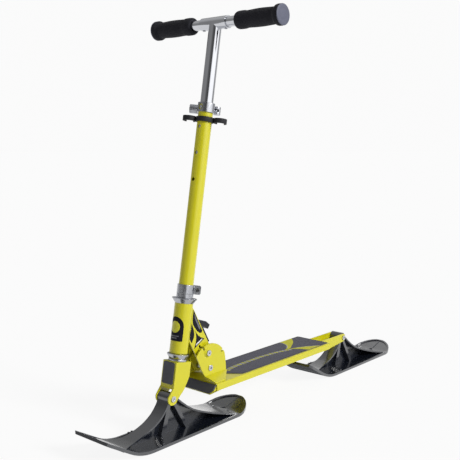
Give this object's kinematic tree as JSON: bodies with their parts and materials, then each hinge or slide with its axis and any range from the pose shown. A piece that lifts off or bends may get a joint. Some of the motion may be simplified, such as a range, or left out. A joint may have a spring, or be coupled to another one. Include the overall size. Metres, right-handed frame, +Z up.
{
  "type": "snow scooter",
  "caption": "Folding kick scooter on skis: a narrow deck, raked T-bar column with height clamp and fold lock, steered front ski and rear ski that rock on cross bolts",
  "frame": {"origin": "on the ground plane, at the centre of the scooter's length and width, below the deck", "axes": "+Z up; the front ski points along -Y; +X is the rider's left"},
  "size_m": [0.367, 1.109, 0.8977],
  "materials": {
    "yellow_paint": "glossy lime yellow powder coat",
    "ski_plastic": "glossy moulded black",
    "black_plastic": "satin moulded black",
    "black_rubber": "matt",
    "grip_foam": "matt closed-cell foam",
    "cap_plastic": "satin grey",
    "deck_tape": "gritty printed grip tape",
    "chromed_steel": "polished",
    "plated_steel": "zinc plated"
  },
  "bodies": {
    "deck_frame": {"deck": "yellow_paint", "grip_tape": "deck_tape", "nose_bracket": "yellow_paint", "front_cap": "black_plastic", "fold_bracket_left": "yellow_paint", "fold_bracket_right": "yellow_paint", "fold_pivot_bolt": "chromed_steel", "fold_pivot_nut": "plated_steel", "fold_stop_bolt": "chromed_steel", "fold_stop_nut": "plated_steel", "rear_arm_left": "yellow_paint", "rear_arm_right": "yellow_paint", "rear_ski_bolt": "chromed_steel", "rear_ski_nut": "plated_steel"},
    "neck_frame": {"neck": "yellow_paint", "head_tube": "yellow_paint", "fold_barrel": "plated_steel", "lower_headset_cup": "plated_steel", "upper_headset_cup": "plated_steel", "release_spring": "plated_steel"},
    "release": {"release_pull": "black_plastic", "lock_pin": "plated_steel"},
    "steering_frame": {"steering_column": "yellow_paint", "fork": "yellow_paint", "fork_front_plate": "black_plastic", "crown_race": "plated_steel", "headset_locknut": "plated_steel", "lower_clamp": "plated_steel", "lower_clamp_bolt": "chromed_steel", "upper_clamp": "plated_steel", "clamp_skewer": "plated_steel", "handle_holder": "black_rubber", "front_ski_bolt": "chromed_steel", "front_ski_nut": "plated_steel"},
    "lever": {"clamp_lever": "plated_steel"},
    "nut": {"clamp_nut": "plated_steel"},
    "stem": {"t_bar": "chromed_steel", "height_button_clip": "chromed_steel"},
    "left_handle": {"left_handle_tube": "chromed_steel", "left_grip": "grip_foam", "left_end_cap": "cap_plastic"},
    "right_handle": {"right_handle_tube": "chromed_steel", "right_grip": "grip_foam", "right_end_cap": "cap_plastic"},
    "left_button": {"left_handle_button": "plated_steel"},
    "right_button": {"right_handle_button": "plated_steel"},
    "front_ski_body": {"front_ski": "ski_plastic", "front_ski_bush": "plated_steel"},
    "rear_ski_body": {"rear_ski": "ski_plastic", "rear_ski_bush": "plated_steel"}
  },
  "joints": [
    {"name": "fold_hinge", "type": "hinge", "parent": "deck_frame", "child": "neck_frame", "pos_m": [0, -0.2367, 0.1238], "axis": [-1, 0, 0], "range_deg": [0, 76]},
    {"name": "steering", "type": "hinge", "parent": "neck_frame", "child": "steering_frame", "pos_m": [0, -0.34116, 0], "axis": [0, 0.1709, 0.9853], "range_deg": [-60, 60]},
    {"name": "height_slide", "type": "slide", "parent": "steering_frame", "child": "stem", "axis": [0, 0.1709, 0.9853], "range_m": [-0.157, 0], "deforming": ["height_button_clip"]},
    {"name": "clamp_lever_hinge", "type": "hinge", "parent": "steering_frame", "child": "lever", "pos_m": [0.00217, -0.1887, 0.68797], "axis": [0, -0.1709, -0.9853], "range_deg": [0, 110]},
    {"name": "clamp_nut_spin", "type": "hinge", "parent": "steering_frame", "child": "nut", "pos_m": [-0.03494, -0.2143, 0.69241], "axis": [0.8192, 0.5651, -0.098], "continuous": true},
    {"name": "release_slide", "type": "slide", "parent": "neck_frame", "child": "release", "axis": [0, -0.4909, 0.8712], "range_m": [0, 0.008], "stiffness_N_per_m": 500, "springref_m": -0.005, "deforming": ["release_spring"]},
    {"name": "left_handle_slide", "type": "slide", "parent": "stem", "child": "left_handle", "axis": [1, 0, 0], "range_m": [0, 0.06]},
    {"name": "right_handle_slide", "type": "slide", "parent": "stem", "child": "right_handle", "axis": [-1, 0, 0], "range_m": [0, 0.06]},
    {"name": "left_button_press", "type": "slide", "parent": "left_handle", "child": "left_button", "axis": [0, 0.1709, 0.9853], "range_m": [0, 0.004], "stiffness_N_per_m": 800, "springref_m": -0.002},
    {"name": "right_button_press", "type": "slide", "parent": "right_handle", "child": "right_button", "axis": [0, 0.1709, 0.9853], "range_m": [0, 0.004], "stiffness_N_per_m": 800, "springref_m": -0.002},
    {"name": "front_ski_pitch", "type": "hinge", "parent": "steering_frame", "child": "front_ski_body", "pos_m": [0, -0.3485, 0.0805], "axis": [-1, 0, 0], "range_deg": [-10, 30]},
    {"name": "rear_ski_pitch", "type": "hinge", "parent": "deck_frame", "child": "rear_ski_body", "pos_m": [0, 0.3145, 0.0805], "axis": [-1, 0, 0], "range_deg": [-30, 6]}
  ]
}
